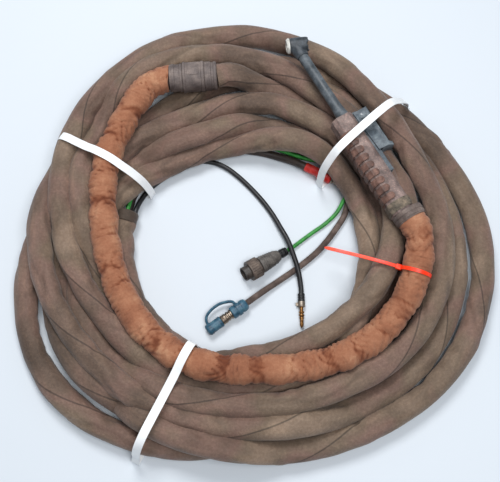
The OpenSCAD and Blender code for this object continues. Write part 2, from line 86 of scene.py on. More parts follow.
# The turns are used between these bearings, in degrees, counted down from 90 at twelve o'clock;
# the stretches before and after join them to the sleeve and to the hem.
FIRST_BEARING, LAST_BEARING = 76, -2694
# Route of the leather cover, which the turns beneath it have to leave room for
LEATHER_ROUTE = [
    (209, 14, 79), (214, 5.3, 79), (218, -9, 76), (216, -40, 69), (205, -75, 63), (187, -104, 57),
    (160, -132, 54), (128, -153, 53), (92, -166, 53), (54, -173, 53), (14, -175, 53),
    (-26, -174, 53), (-64, -168, 53), (-100, -152, 53), (-132, -126, 53), (-157, -93, 53),
    (-176, -54, 53), (-188, -12, 53), (-195, 33, 53), (-197, 78, 53), (-190, 122, 54),
    (-174, 162, 55), (-158, 193, 56), (-145, 212, 57), (-131, 223, 57), (-117, 228.6, 57),
    (-112.2, 229, 57),
]


def smooth_route(points, spacing):
    """Points in metres along one smooth line through the given ones, evenly spaced."""
    p = np.array(points, float)
    p = np.vstack([2 * p[0] - p[1], p, 2 * p[-1] - p[-2]])
    fine = []
    for a, b, c, d in zip(p, p[1:], p[2:], p[3:]):
        for t in np.linspace(0, 1, 12, endpoint=False):
            fine.append(0.5 * (2 * b + (c - a) * t + (2 * a - 5 * b + 4 * c - d) * t ** 2
                               + (3 * b - a - 3 * c + d) * t ** 3))
    fine = np.array(fine + [p[-2]])
    run = np.concatenate([[0], np.cumsum(np.linalg.norm(np.diff(fine, axis=0), axis=1))])
    even = np.linspace(0, run[-1], max(2, int(round(run[-1] / spacing)) + 1))
    return np.stack([np.interp(even, run, fine[:, k]) for k in range(3)], axis=1)


def run_length(path):
    """How far along the path each of its points is."""
    return np.concatenate([[0], np.cumsum(np.linalg.norm(np.diff(path, axis=0), axis=1))])


def wander(x, wave, seed):
    """Smooth random rise and fall between about -1 and 1, with waves about that long."""
    rng = np.random.default_rng(seed)
    total = 0
    for _ in range(5):
        pace, start = rng.uniform(0.5, 1.7), rng.uniform(0, 2 * pi)
        total = total + np.sin(2 * pi * x / wave * pace + start)
    return total / 2.6


def wind_coil():
    """The hose's line, from sleeve to end, round the clock at the places in TURNS."""
    places = []
    for k, turn in enumerate(TURNS):
        for hour, (out, height) in enumerate(zip(*turn)):
            places.append((90 - 30 * hour - 360 * k, out, height))
    points = []
    for angle, out, height in smooth_route(places, 8):
        a = radians(angle)
        if FIRST_BEARING > angle > LAST_BEARING:
            points.append((out * cos(a), out * sin(a), height))
    start, end = Vector(SLEEVE_END), Vector(JACKET_END)
    out_of_sleeve, into_hem = Vector((22, 1, -1)), 10 * Vector((0.225, 0.974, 0))
    points = [start, start + out_of_sleeve] + points + [end - into_hem, end]
    return smooth_route(np.array(points) * MM, 15 * MM)


def settle(path, cover, pitch=29.5 * MM, low=15.5 * MM, high=46.5 * MM, rounds=70):
    """Lets the turns rest on the bench and on each other, and under the cover, as their own weight
    and softness would. Each point keeps close to where it was laid."""
    p, laid, count = path.copy(), path.copy(), len(path)
    gap = np.abs(np.subtract.outer(np.arange(count), np.arange(count)))
    for _ in range(rounds):
        for others, reach, mask in ((p, pitch, gap > 7), (cover, 32 * MM, None)):
            away = p[:, None, :] - others[None, :, :]
            far = np.linalg.norm(away, axis=2) + 1e-9
            close = np.clip(reach - far, 0, None)
            if mask is not None:
                close = close * mask
            push = (away / far[:, :, None] * close[:, :, None]).sum(1)
            share = np.maximum((close > 0).sum(1), 1)[:, None]
            p += push / share * np.array([0.2, 0.2, 0.5])
        p[1:-1] += 0.25 * ((p[:-2] + p[2:]) / 2 - p[1:-1])
        p[:, :2] += 0.3 * (laid[:, :2] - p[:, :2])
        p[:, 2] = np.clip(p[:, 2] - 0.2 * MM, low, high)
        p[:3], p[-4:] = laid[:3], laid[-4:]
    return p


def tube(name, path, radius, sides):
    """A closed tube along the path. radius is in metres, one number or one for each ring and side.
    Its UV map runs along it and round it, in metres."""
    count = len(path)
    ahead = np.gradient(path, axis=0)
    ahead /= np.linalg.norm(ahead, axis=1)[:, None]
    side = np.cross(ahead, (0, 0, 1))
    side /= np.linalg.norm(side, axis=1)[:, None]
    up = np.cross(side, ahead)
    bm = bmesh.new()
    bm.loops.layers.uv.new("UVMap")
    bmesh.ops.create_grid(bm, x_segments=count - 1, y_segments=sides, size=0.5, calc_uvs=True)
    mesh = bpy.data.meshes.new(name)
    bm.to_mesh(mesh)
    bm.free()
    flat = np.zeros(len(mesh.vertices) * 3)
    mesh.vertices.foreach_get("co", flat)
    flat = flat.reshape(-1, 3)
    ring = np.rint((flat[:, 0] + 0.5) * (count - 1)).astype(int)
    turn = np.rint((flat[:, 1] + 0.5) * sides).astype(int) % sides
    r = np.broadcast_to(np.asarray(radius, float), (count, sides))[ring, turn][:, None]
    a = (2 * pi * turn / sides)[:, None]
    place = path[ring] + r * (np.cos(a) * side[ring] + np.sin(a) * up[ring])
    mesh.vertices.foreach_set("co", place.ravel())
    uv = np.zeros(len(mesh.loops) * 2)
    mesh.uv_layers[0].data.foreach_get("uv", uv)
    uv = uv.reshape(-1, 2) * (run_length(path)[-1], 2 * pi * float(np.mean(radius)))
    mesh.uv_layers[0].data.foreach_set("uv", uv.ravel())
    # how far each point stands out of the deepest folds, from 0 to 1
    deep, proud = np.percentile(r, 2), np.percentile(r, 92)
    fold = mesh.attributes.new("fold", "FLOAT", "POINT")
    fold.data.foreach_set("value", np.clip((r[:, 0] - deep) / max(proud - deep, 1e-6), 0, 1))
    bm = bmesh.new()
    bm.from_mesh(mesh)
    bmesh.ops.remove_doubles(bm, verts=bm.verts, dist=1e-7)
    bmesh.ops.holes_fill(bm, edges=bm.edges, sides=0)
    bmesh.ops.recalc_face_normals(bm, faces=bm.faces)
    bm.to_mesh(mesh)
    bm.free()
    return show(name, mesh)


def show(name, mesh, corner=40):
    """Puts a finished mesh in the scene, smooth but for corners sharper than so many degrees."""
    mesh.shade_smooth()
    mesh.set_sharp_from_angle(angle=radians(corner))
    obj = bpy.data.objects.new(name, mesh)
    SCENE.collection.objects.link(obj)
    return obj


def dress(obj, material, slot, *nodes, body="root"):
    """Gives a piece its finish and its body, and hides the CAD nodes it stands for. slot is not
    used.
    """
    obj.data.materials.clear()
    obj.data.materials.append(material)
    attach(obj, body)
    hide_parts(*nodes)
    return obj


def linear(code):
    """A #rrggbb colour as linear numbers, which is what a shader takes."""
    parts = [int(code[k:k + 2], 16) / 255 for k in (1, 3, 5)]
    return [c / 12.92 if c <= 0.04045 else ((c + 0.055) / 1.055) ** 2.4 for c in parts] + [1]


def feed(tree, node, **links):
    """Sets a node's sockets, by name or by _number, each to a value, to a node's first output or
    to (node, output). A colour Mix takes its colours at _6 and _7 and gives its own at 2."""
    for key, value in links.items():
        socket = node.inputs[int(key[1:])] if key[0] == "_" else node.inputs[key.replace("_", " ")]
        source, output = value if isinstance(value, tuple) and len(value) == 2 else (value, 0)
        if isinstance(source, bpy.types.Node):
            tree.links.new(source.outputs[output], socket)
        else:
            socket.default_value = value


def add(tree, kind, settings=None, stops=(), **links):
    """Adds one shader node. settings are its own fields, stops are a colour ramp's, as (place,
    colour), and links are what feeds its sockets."""
    made = tree.nodes.new("ShaderNode" + kind)
    for key, value in (settings or {}).items():
        setattr(made, key, value)
    for _ in stops[2:]:
        made.color_ramp.elements.new(1)
    for element, (at, colour) in zip(made.color_ramp.elements if stops else (), stops):
        element.position, element.color = at, linear(colour)
    feed(tree, made, **links)
    return made


def start_finish(name, roughness, metallic=0.0, specular=0.5):
    """A new material, its node tree, its shader and the piece's own coordinates."""
    material = bpy.data.materials.new(name)
    material.use_nodes = True
    tree = material.node_tree
    shader = tree.nodes["Principled BSDF"]
    feed(tree, shader, Roughness=roughness, Metallic=metallic, Specular_IOR_Level=specular)
    return material, tree, shader, (add(tree, "TexCoord"), "Object")


def clouded(tree, where, size, stops, detail=6.0, roughness=0.7, distortion=0.0):
    """Colours in clouds of that many millimetres, or of one where no size is given. Returns the
    noise and its colours."""
    noise = add(tree, "TexNoise", Vector=where, Scale=every(size) if size else 1.0, Detail=detail,
                Roughness=roughness, Distortion=distortion)
    return noise, add(tree, "ValToRGB", stops=stops, Fac=noise)


def every(size):
    """The scale of a pattern that repeats at about that many millimetres."""
    return 1 / (size * MM)


# settings that many finishes share: two ways to mix colours, and a * b + c
SOFT_LIGHT = {"data_type": "RGBA", "blend_type": "SOFT_LIGHT"}
DARKEN = {"data_type": "RGBA", "blend_type": "MULTIPLY"}
TIMES_PLUS = {"operation": "MULTIPLY_ADD"}
SEAM_TWIST = 22     # radians round the hose for each metre along it


def jacket_folds(run, sides):
    """How far the cloth stands from the hose's middle: it lies flattened, with long creases that
    twist round it, short pinches on the inner side of the bend, and the ridge of its seam."""
    s, a = run[:, None], (np.arange(sides) * 2 * pi / sides)[None, :]
    r = 15.4 + 0.7 * np.cos(2 * a) + 0.7 * wander(s, 0.23, 1)
    for height, wave, seed, lobes, twist in ((0.4, 0.06, 2, 1, 9), (0.6, 0.31, 3, 2, 5),
                                             (0.35, 0.11, 4, 3, -8)):
        r = r + height * wander(s, wave, seed) * np.cos(lobes * a + twist * s)
    for k in range(9):
        twist = (3 + 2.6 * k) * (1 if k % 2 else -1)
        line = np.clip(np.cos(a - twist * s - 1.7 * k - 0.9 * wander(s, 0.3, 10 + k)), 0, 1)
        r = r - 2.3 * np.clip(wander(s, 0.22, 20 + k) - 0.15, 0, 1) * (line ** 30 - 0.3 * line ** 5)
    for k in range(5):
        pinch = np.clip(wander(s + 0.012 * np.sin(a + k), 0.034 + 0.011 * k, 30 + k) - 0.4, 0, 1)
        r = r - 1.5 * pinch * np.clip(np.cos(a - 0.9 + 0.4 * k), 0, 1) ** 3
    seam = np.clip(np.cos(a - SEAM_TWIST * s), 0, 1) ** 60
    return (r + 0.7 * seam) * MM


def coated_cloth(girth):
    """Coated nylon cloth, old and dirty: matt, in broad patches of taupe, brown-pink and olive,
    with a fine weave, fine dust, painted shade in its creases, and a stitched seam that winds along
    it."""
    material, tree, shader, co = start_finish("coated_nylon_cloth", 0.7, specular=0.4)
    _, patches = clouded(tree, co, 90, [(0.30, "#7d6b5d"), (0.41, "#927e70"), (0.50, "#a38a7e"),
                         (0.60, "#9b8a79"), (0.72, "#b09e8d")], detail=2.0, roughness=0.5)
    # rubs and stains run along the hose, about 60 mm long and 15 mm wide
    drawn = add(tree, "Mapping", Vector=(co[0], "UV"), Rotation=(0, 0, radians(14)),
                Scale=(every(60), every(15), 1))
    _, stains = clouded(tree, drawn, None, [(0.28, "#665e58"), (0.5, "#808080"),
                        (0.7, "#a59e96")], distortion=0.6)
    mixed = add(tree, "Mix", SOFT_LIGHT, _0=0.75,
                _6=patches, _7=stains)
    dust, dusty = clouded(tree, co, 3.5, [(0.33, "#5f5a55"), (0.5, "#808080"), (0.66, "#a9a49e")],
                          detail=5.0, roughness=0.75)
    mixed = add(tree, "Mix", SOFT_LIGHT, _0=0.7,
                _6=(mixed, 2), _7=dusty)
    # painted shade: the cloth is darkened down in its folds, by how deep each point lies in them
    fold = add(tree, "Attribute", {"attribute_name": "fold"})
    shade = add(tree, "ValToRGB", stops=[(0.0, "#b5aea8"), (0.45, "#e4e0dd"), (0.9, "#ffffff")],
                Fac=(fold, "Fac"))
    deep = add(tree, "Mix", DARKEN, _0=0.5,
               _6=(mixed, 2), _7=shade)
    # the seam: a dark stitched line 1.2 mm wide that turns with the ridge
    place = add(tree, "SeparateXYZ", Vector=(co[0], "UV"))
    unrolled = add(tree, "Math", TIMES_PLUS, _0=(place, "X"),
                   _1=-SEAM_TWIST * girth / (2 * pi), _2=(place, "Y"))
    beside = add(tree, "Math", {"operation": "PINGPONG"}, _0=unrolled, _1=girth / 2)
    stitched = add(tree, "MapRange", Value=beside, From_Min=0.6 * MM, From_Max=1.6 * MM,
                   To_Min=0.45, To_Max=1.0)
    lined = add(tree, "Mix", DARKEN, _0=1.0,
                _6=(deep, 2), _7=stitched)
    # threads drawn 2.2 mm apart, twice their real spacing, so that they show
    scaled = add(tree, "Mapping", Vector=(co[0], "UV"), Scale=(every(2.2), every(2.2), 1))
    weave = add(tree, "TexChecker", Vector=scaled, Scale=1.0)
    creased = add(tree, "Mapping", Vector=(co[0], "UV"), Rotation=(0, 0, radians(-20)),
                  Scale=(every(26), every(7), 1))
    crease = add(tree, "TexNoise", {"noise_type": "RIDGED_MULTIFRACTAL"}, Vector=creased,
                 Scale=1.0, Detail=4.0, Roughness=0.5, Distortion=0.8)
    rise = add(tree, "Math", TIMES_PLUS, _0=(weave, "Fac"), _1=0.06, _2=dust)
    folded = add(tree, "Math", TIMES_PLUS, _0=crease, _1=0.35, _2=rise)
    bump = add(tree, "Bump", Strength=0.55, Distance=1.6 * MM, Height=folded)
    feed(tree, shader, Base_Color=(lined, 2), Normal=bump, Sheen_Weight=0.12, Sheen_Roughness=0.5)
    return material


cover_line = smooth_route(np.array(LEATHER_ROUTE) * MM, 12 * MM)
coil_line = settle(wind_coil(), cover_line)
jacket_line = smooth_route(coil_line, 4.4 * MM)
JACKET_SIDES = 32
jacket = tube("jacketed_hose", jacket_line,
              jacket_folds(run_length(jacket_line), JACKET_SIDES), JACKET_SIDES)
JACKET_CLOTH = coated_cloth(2 * pi * 15.5 * MM)
dress(jacket, JACKET_CLOTH, "jacket_fabric", "hose_coil")

# ------------------------------------------------------------------ leather cover
# A cover of orange-brown suede split, sewn into a tube and pushed up over the hoses from the handle
# to the swivel sleeve. It is longer than the run that it covers, so it stands in soft gathers.
def gathers(run, sides, middle):
    """How far the leather stands out: round bulges across the hose with sharp valleys between."""
    s, a = run[:, None], (np.arange(sides) * 2 * pi / sides)[None, :]
    r = np.full((len(run), sides), middle)
    for k, (pitch, height) in enumerate(((0.031, 0.9), (0.019, 1.6), (0.013, 2.0), (0.009, 1.6),
                                         (0.0065, 0.8))):
        lean = 0.7 * np.sin(a + 2.1 * k) + 0.45 * np.sin(2 * a + 1.3 * k) + 0.25 * np.sin(3 * a + k)
        shift = wander(s, 0.1, 50 + k) + lean * (1 + 0.9 * wander(s, 0.07, 60 + k))
        strength = np.clip(0.6 + 0.7 * wander(s, 0.08, 70 + k) * np.cos(a - 1.9 * k), 0.15, 1.2)
        bulge = np.abs(np.sin(pi * (s / pitch + 0.7 * shift))) ** 0.55
        r = r + height * strength * (bulge - 0.74)
    r = r + 1.2 * wander(s, 0.06, 80) + 1.0 * wander(s, 0.045, 81) * np.cos(a + s / 0.02)
    return r * MM


def suede():
    """Suede split leather, worn and dusty: matt and velvety, terracotta, with painted shade that
    makes it darker and redder down in its folds, and paler where it has been rubbed."""
    material, tree, shader, co = start_finish("suede_split_leather", 0.86, specular=0.25)
    _, hide = clouded(tree, co, 32, [(0.3, "#94634a"), (0.45, "#a37054"), (0.58, "#ae7d60"),
                      (0.72, "#c39878")], detail=5.0, roughness=0.6)
    nap, flecks = clouded(tree, co, 3, [(0.35, "#5e5350"), (0.52, "#828080"), (0.75, "#b5adaa")])
    mixed = add(tree, "Mix", SOFT_LIGHT, _0=0.5,
                _6=hide, _7=flecks)
    # painted shade: the leather is darkened and reddened down in its folds, by how deep each point
    # lies
    hollow = add(tree, "Attribute", {"attribute_name": "fold"})
    shade = add(tree, "ValToRGB", stops=[(0.0, "#b4988a"), (0.2, "#dccbc1"), (0.45, "#ffffff")],
                Fac=(hollow, "Fac"))
    deep = add(tree, "Mix", DARKEN, _0=1.0,
               _6=(mixed, 2), _7=shade)
    # fine wrinkles across the hose, 4 mm apart and about 22 mm long
    across = add(tree, "Mapping", Vector=(co[0], "UV"), Scale=(every(4), every(22), 1))
    wrinkle = add(tree, "TexNoise", {"noise_type": "RIDGED_MULTIFRACTAL"}, Vector=across,
                  Scale=1.0, Detail=3.0, Roughness=0.5, Distortion=0.5)
    rise = add(tree, "Math", TIMES_PLUS, _0=nap, _1=0.5, _2=wrinkle)
    bump = add(tree, "Bump", Strength=0.8, Distance=1.2 * MM, Height=rise)
    feed(tree, shader, Base_Color=(deep, 2), Normal=bump, Sheen_Weight=0.1)
    return material


leather_line = smooth_route(np.array(LEATHER_ROUTE) * MM, 1.7 * MM)
leather = tube("leather_cover", leather_line, gathers(run_length(leather_line), 64, 18.4), 64)
dress(leather, suede(), "leather", "leather_hose")

# ------------------------------------------------------------------ swivel sleeve
# Three moulded nylon rings joining the leather to the jacket. The middle one turns in the other
# two, has a rib at each end and carries a raised panel. All are grey-brown, scuffed and dusty.
def spot(at, turn, tilt=0):
    """The place of a piece made along +X: its start in millimetres, its turn and its tilt."""
    return (Matrix.Translation(Vector(at) * MM) @ Matrix.Rotation(radians(turn), 4, "Z")
            @ Matrix.Rotation(radians(-tilt), 4, "Y"))


def turned(outline, place, steps=96, sweep=360, start=0):
    """A turned solid as a bmesh: a closed line of (along, out) in millimetres, spun round the X
    axis, wholly or from start through sweep degrees, and put in its place."""
    bm = bmesh.new()
    ring = [bm.verts.new((x * MM, 0, r * MM)) for x, r in outline]
    edges = [bm.edges.new((ring[i - 1], ring[i])) for i in range(len(ring))]
    if sweep < 360:
        bmesh.ops.rotate(bm, verts=ring, cent=(0, 0, 0),
                         matrix=Matrix.Rotation(radians(start), 3, "X"))
        face = bm.faces.new(ring)
        bmesh.ops.spin(bm, geom=[face, *face.edges, *face.verts], cent=(0, 0, 0), axis=(1, 0, 0),
                       angle=radians(sweep), steps=steps)
    else:
        bmesh.ops.spin(bm, geom=ring + edges, cent=(0, 0, 0), axis=(1, 0, 0),
                       angle=2 * pi, steps=steps, use_merge=True)
    bmesh.ops.remove_doubles(bm, verts=bm.verts, dist=1e-6)
    bmesh.ops.recalc_face_normals(bm, faces=bm.faces)
    bmesh.ops.transform(bm, matrix=place, verts=bm.verts)
    return bm


def finish_mesh(name, bm, corner=40):
    """Turns a bmesh into a piece in the scene."""
    mesh = bpy.data.meshes.new(name)
    bm.to_mesh(mesh)
    bm.free()
    return show(name, mesh, corner)


def turned_piece(name, place, material, slot, node, outline, corner=40, **spin):
    """A turned piece that stands for a CAD node, from its outline and its place."""
    return dress(finish_mesh(name, turned(outline, place, **spin), corner), material, slot, node)


def scuffed_plastic(name, dark, mid, pale, roughness=0.5, grain=0.35, dust=22):
    """Moulded plastic or rubber after years in a workshop: a soft broken shine, dust and scuffs in
    clouds, fine pits and paler rubbed spots."""
    material, tree, shader, co = start_finish(name, roughness)
    cloud, tones = clouded(tree, co, dust, [(0.32, dark), (0.5, mid), (0.7, pale)], roughness=0.65)
    pits, specks = clouded(tree, co, 1.6, [(0.3, "#5c5c5c"), (0.5, "#808080"), (0.72, "#a8a8a8")],
                           detail=4.0)
    mixed = add(tree, "Mix", SOFT_LIGHT, _0=0.8,
                _6=tones, _7=specks)
    rough = add(tree, "MapRange", Value=cloud, From_Min=0.3, From_Max=0.7,
                To_Min=max(roughness - 0.12, 0.05), To_Max=min(roughness + 0.18, 1.0))
    rise = add(tree, "Math", TIMES_PLUS, _0=pits, _1=0.6, _2=cloud)
    bump = add(tree, "Bump", Strength=grain, Distance=0.4 * MM, Height=rise)
    feed(tree, shader, Base_Color=(mixed, 2), Roughness=rough, Normal=bump)
    return material


SLEEVE = spot((-112, 229, 57), 4)
nylon = scuffed_plastic("dusty_moulded_nylon", "#5f5452", "#7d716d", "#a0938c", 0.62, 0.5)
turned_piece("sleeve_front_ring", SLEEVE, nylon, "sleeve_plastic", "sleeve_front", [
    (0, 15), (0, 17.6), (0.8, 18.6), (3.5, 18.9), (4.2, 19.5), (7, 19.5), (7.7, 18.7), (14, 18.7),
    (14.8, 19.5), (17.8, 19.5), (18.4, 18.9), (18.4, 15)])
turned_piece("sleeve_middle_ring", SLEEVE, nylon, "sleeve_plastic", "sleeve_body", [
    (18.5, 15), (18.5, 20.3), (19.2, 21.3), (22, 21.5), (22.8, 20.6), (43.8, 20.6), (44.6, 21.5),
    (47.8, 21.3), (48.8, 20.3), (48.8, 15)])
turned_piece("sleeve_panel", SLEEVE, nylon, "sleeve_plastic", "sleeve_body", [
    (25, 20), (25, 20.9), (25.5, 21.3), (41.2, 21.3), (41.7, 20.9), (41.7, 20)],
    steps=24, sweep=64, start=-46)
turned_piece("sleeve_rear_ring", SLEEVE, nylon, "sleeve_plastic", "sleeve_rear", [
    (48.9, 15), (48.9, 19.4), (49.6, 20), (57.6, 20), (58.4, 18.9), (61, 18.9), (61.7, 19.6),
    (64.8, 19.6), (66, 18.3), (66, 15)])

# ------------------------------------------------------------------ torch head and neck
# A brass core, threaded at both ends, in a moulded black rubber head. The rubber is torn at its
# open rear end and carries a white glass-filled ring at the front. A rubber sheath covers the neck.
TORCH = spot((209, 14, 79), 120)
HEAD_TILT = 23
ALONG_HEAD = (TORCH @ Matrix.Translation(Vector((292, -3, 0)) * MM)
              @ Matrix.Rotation(radians(-HEAD_TILT), 4, "Z")
              @ Matrix.Rotation(radians(-90), 4, "X")
              @ Matrix.Rotation(radians(-90), 4, "Y"))


def joined(*parts):
    """Several bmeshes as one."""
    whole = bmesh.new()
    for part in parts:
        step = bpy.data.meshes.new("step")
        part.to_mesh(step)
        part.free()
        whole.from_mesh(step)
        bpy.data.meshes.remove(step)
    return whole


def apply_modifiers(obj):
    """Leaves the shape that a piece's modifiers give it as its own mesh."""
    depsgraph = bpy.context.evaluated_depsgraph_get()
    shape = bpy.data.meshes.new_from_object(obj.evaluated_get(depsgraph))
    obj.modifiers.clear()
    obj.data = shape


def melted(name, bm, voxel, rounds):
    """Overlapping solids run together into one skin, as a moulding's are, and smoothed."""
    obj = finish_mesh(name, bm, 180)
    remesh = obj.modifiers.new("one skin", "REMESH")
    remesh.mode, remesh.voxel_size = "VOXEL", voxel * MM
    smooth = obj.modifiers.new("even", "SMOOTH")
    smooth.iterations, smooth.factor = rounds, 0.5
    apply_modifiers(obj)
    obj.data.shade_smooth()
    return obj


def machined_metal(name, dark, mid, pale, roughness=0.35, grime=6):
    """Turned metal, tarnished with handling: a broken shine, in darker and paler clouds, with fine
    tool marks."""
    material, tree, shader, co = start_finish(name, roughness, 1.0)
    cloud, tones = clouded(tree, co, grime, [(0.3, dark), (0.5, mid), (0.68, pale)])
    rough = add(tree, "MapRange", Value=cloud, From_Min=0.3, From_Max=0.7,
                To_Min=roughness + 0.2, To_Max=max(roughness - 0.12, 0.08))
    marks = add(tree, "TexNoise", Vector=co, Scale=every(0.8), Detail=4.0, Roughness=0.8)
    bump = add(tree, "Bump", Strength=0.25, Distance=0.15 * MM, Height=marks)
    feed(tree, shader, Base_Color=tones, Roughness=rough, Normal=bump)
    return material


def recover(name, material):
    """Puts a finish on a CAD part that keeps its own shape."""
    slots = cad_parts[name].data.materials
    slots.clear()
    slots.append(material)


recover("head_body", machined_metal("sooted_brass", "#2c2824", "#463d34", "#6b5c4a", 0.5))
head_rubber = scuffed_plastic("worn_moulded_rubber", "#30353b", "#474e55", "#697077", 0.5, 0.4, 9)
head = melted("head_moulding_skin", joined(
    turned([(-13.9, 7.3), (-13.9, 9.2), (-12, 10.4), (-3, 10.75), (2, 10.75), (8, 10.6),
            (10.9, 10.2), (11, 7.3)], ALONG_HEAD),
    turned([(272.5, 7.2), (272.5, 8.1), (275, 8.9), (284, 9.4), (289, 9.6), (289, 7.2)], TORCH)),
    voxel=0.55, rounds=8)
# the torn rim at the rear, deepest at its edge
RIM_FROM, RIM_BLEND = -10 * MM, 3 * MM
for vertex in head.data.vertices:
    local = ALONG_HEAD.inverted() @ vertex.co
    if local.x < RIM_FROM:
        turn_at = atan2(local.z, local.y)
        cut = (0.9 * sin(3 * turn_at) + 0.7 * sin(7 * turn_at + 1)) * MM
        local.x += cut * min(1, (RIM_FROM - local.x) / RIM_BLEND)
        vertex.co = ALONG_HEAD @ local
dress(head, head_rubber, "head_rubber", "head_moulding")
ceramic = scuffed_plastic("glass_filled_white_ring", "#b9b7b0", "#dcdbd6", "#f1f1ee", 0.55, 0.3, 5)
turned_piece("front_ring", ALONG_HEAD, ceramic, "white_insulator", "front_insulator", [
    (11, 7.55), (11, 9.9), (11.4, 10.6), (13.6, 10.6), (14.2, 10.2), (14.2, 9.5), (15.2, 9),
    (15.6, 8.4), (15.6, 7.55)])
sheath_rubber = scuffed_plastic("grey_neck_sheath", "#41484e", "#5b6369", "#7a8187", 0.45, 0.35, 14)
turned_piece("neck_sheath_skin", TORCH, sheath_rubber, "neck_rubber", "neck_sheath", [
    (152, 5.2), (152, 9), (166, 9), (166, 9.8), (167.5, 10), (169, 9.5), (174, 8.6), (182, 7.8),
    (189, 7.3), (200, 7.2), (200.6, 7.4), (202, 7.4), (202.6, 7.2), (262, 7.2), (262.6, 7.45),
    (268, 7.45), (268.6, 7.2), (280, 7.2), (280, 5.2)])
copper = machined_metal("soft_copper_tube", "#7c4527", "#b06a3f", "#cf9068")
steel = machined_metal("zinc_plated_steel", "#6f7174", "#9b9ea1", "#c4c6c7", 0.38)
black_rubber = scuffed_plastic("black_hose_rubber", "#141416", "#202023", "#34343a", 0.42, 0.25, 12)
brown_rubber = scuffed_plastic("brown_hose_rubber", "#2a201c", "#3d302a", "#57483f", 0.55, 0.3, 12)
green_pvc = scuffed_plastic("green_pvc_cable", "#1f7a2b", "#319a3a", "#55b858", 0.45, 0.2, 10)
for node in ("gas_tube", "water_tube", "power_tube"):
    recover(node, copper)
for node in ("handle_screws", "trigger_pin", "trigger_spring", "crimp_ferrules"):
    recover(node, steel)
recover("inner_gas_hose", black_rubber)
recover("inner_water_hose", brown_rubber)
recover("inner_power_cable", brown_rubber)
recover("switch_cable", green_pvc)

# ------------------------------------------------------------------ handle
# Two shells of glass-filled nylon screwed together, speckled with pale wear, with a strip of nine
# soft rubber pads round the grip side. Cloth tape binds its rear end, and a collar ends it.
def part_copy(node):
    """A copy of a CAD part's mesh with its flat faces whole."""
    bm = bmesh.new()
    bm.from_mesh(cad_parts[node].data)
    bmesh.ops.remove_doubles(bm, verts=bm.verts, dist=1e-6)
    bmesh.ops.dissolve_limit(bm, angle_limit=radians(1), verts=bm.verts, edges=bm.edges)
    return bm


def hard_edges(bm):
    """The edges where two faces meet at more than 30 degrees."""
    return [e for e in bm.edges
            if len(e.link_faces) == 2 and e.calc_face_angle(0) > radians(30)]


def eased(name, node, width, segments=3):
    """A copy of a CAD part with its hard edges rounded, as moulding or machining leaves them."""
    bm = part_copy(node)
    bmesh.ops.bevel(bm, geom=hard_edges(bm), offset=width * MM, segments=segments, profile=0.5,
                    affect="EDGES", material=-1, clamp_overlap=True)
    return finish_mesh(name, bm, 50)


def worn_handle():
    """Glass-filled nylon, brown-grey: matt, in darker and paler clouds, rubbed to a speckled
    pinkish grey all over."""
    material, tree, shader, co = start_finish("glass_filled_nylon", 0.6)
    cloud, tones = clouded(tree, co, 18, [(0.3, "#5d504c"), (0.48, "#8a7771"), (0.66, "#b29d95")])
    chip = add(tree, "TexVoronoi", Vector=co, Scale=every(2.4), Randomness=1.0)
    chips = add(tree, "ValToRGB", stops=[(0.12, "#cdb5ab"), (0.3, "#857a77"), (0.7, "#67605e")],
                Fac=chip)
    worn = add(tree, "Mix", {**SOFT_LIGHT, "blend_type": "OVERLAY"}, _0=0.55,
               _6=tones, _7=chips)
    rise = add(tree, "Math", TIMES_PLUS, _0=chip, _1=0.7, _2=cloud)
    bump = add(tree, "Bump", Strength=0.5, Distance=0.5 * MM, Height=rise)
    feed(tree, shader, Base_Color=(worn, 2), Normal=bump)
    return material


shell_nylon = worn_handle()
for node in ("handle_shell_upper", "handle_shell_lower"):
    dress(eased(node + "_skin", node, 1.4), shell_nylon, "handle_plastic", node)
pad_rubber = scuffed_plastic("grip_pad_rubber", "#4d3a34", "#79594d", "#a17f71", 0.6, 0.5, 10)
pads = part_copy("grip_strip")
bmesh.ops.transform(pads, matrix=TORCH.inverted(), verts=pads.verts)
# the pads end in a half round on the upper face, and their other edges are soft
GRIP_AXIS_Y, PAD_END = 5 * MM, 4.3 * MM
ends = [e for e in pads.edges if all(abs(v.co.y - GRIP_AXIS_Y) < 0.1 * MM for v in e.verts)
        and abs(e.verts[0].co.z - e.verts[1].co.z) > 2 * MM]
bmesh.ops.bevel(pads, geom=ends, offset=PAD_END, segments=6, profile=0.5, affect="EDGES",
                material=-1)
bmesh.ops.bevel(pads, geom=hard_edges(pads), offset=0.8 * MM, segments=2, profile=0.5,
                affect="EDGES", material=-1, clamp_overlap=True)
bmesh.ops.transform(pads, matrix=TORCH, verts=pads.verts)
dress(finish_mesh("grip_pads", pads, 50), pad_rubber, "grip_rubber", "grip_strip")


def frayed_tape():
    """Cotton tape, three turns, grey-brown with oil and dust, its weave coarse enough to see."""
    material, tree, shader, co = start_finish("oily_cotton_tape", 0.85)
    cloud, tones = clouded(tree, co, 7, [(0.3, "#3d362f"), (0.48, "#62594d"), (0.6, "#7d6f5f"),
                           (0.72, "#a08a74")])
    weave = add(tree, "TexVoronoi", Vector=co, Scale=every(1.2), Randomness=0.4)
    rise = add(tree, "Math", TIMES_PLUS, _0=weave, _1=0.5, _2=cloud)
    bump = add(tree, "Bump", Strength=0.8, Distance=0.6 * MM, Height=rise)
    feed(tree, shader, Base_Color=tones, Normal=bump)
    return material


